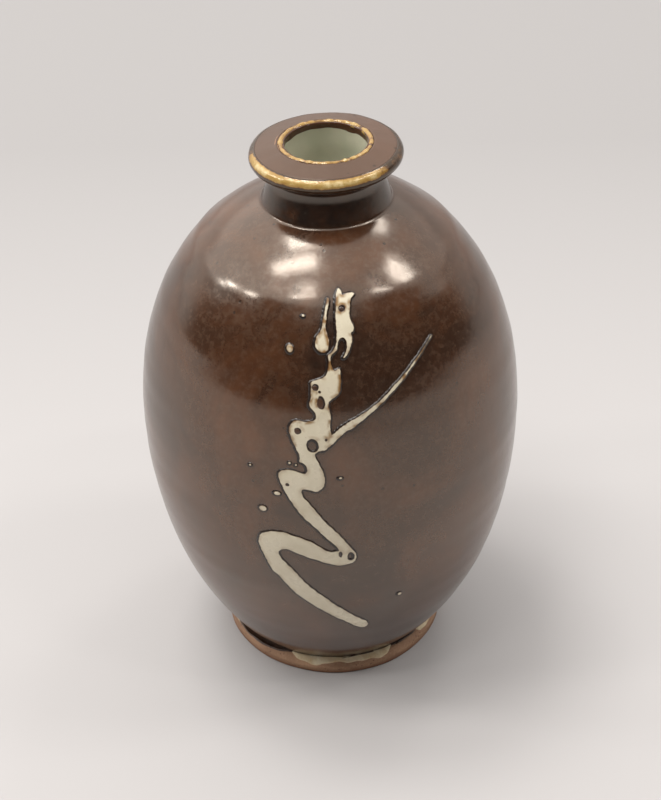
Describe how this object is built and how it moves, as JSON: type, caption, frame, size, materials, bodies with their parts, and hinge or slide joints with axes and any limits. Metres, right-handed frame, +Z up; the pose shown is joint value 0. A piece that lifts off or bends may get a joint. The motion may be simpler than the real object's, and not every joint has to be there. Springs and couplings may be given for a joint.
{
  "type": "sake bottle",
  "caption": "Wheel-thrown stoneware sake bottle with a flared lip, short neck, low foot ring and a poured cream zigzag over iron-brown glaze.",
  "frame": {"origin": "centre of the foot ring's underside, on the surface the bottle stands on", "axes": "+Z up through the mouth, -Y towards the decorated front, +X to the right seen from the front"},
  "size_m": [0.104, 0.1042, 0.1572],
  "materials": {
    "stoneware_clay": "bare stoneware, hidden under the glaze",
    "foot_clay": "bare clay toasted orange-brown, dry and slightly sandy",
    "celadon_glaze": "glossy pale grey-green liner",
    "cream_glaze": "cream glaze, satin",
    "brown_glaze": "glossy iron-brown glaze with a greyish haze",
    "lip_glaze": "satin purple-brown glaze",
    "amber_glaze": "glossy amber where the glaze is thin",
    "cream_trail": "satin cream trailed glaze",
    "dark_glaze": "glossy dark brown where the glaze is thick"
  },
  "bodies": {
    "root": {"body_wall": "stoneware_clay", "foot_ring": "foot_clay", "neck_collar": "stoneware_clay", "lip_disc": "stoneware_clay", "liner_glaze": "celadon_glaze", "cream_glaze": "cream_glaze", "brown_glaze": "brown_glaze", "neck_glaze": "brown_glaze", "lip_glaze": "lip_glaze", "lip_edge_glaze": "amber_glaze", "mouth_bead": "amber_glaze", "upper_stroke": "cream_trail", "middle_stroke": "cream_trail", "diagonal_stroke": "cream_trail", "lower_stroke": "cream_trail", "side_streaks": "cream_trail", "splash_drops": "cream_trail", "trail_beads": "dark_glaze", "foot_skirt": "cream_glaze", "glaze_roll": "dark_glaze"}
  },
  "joints": []
}
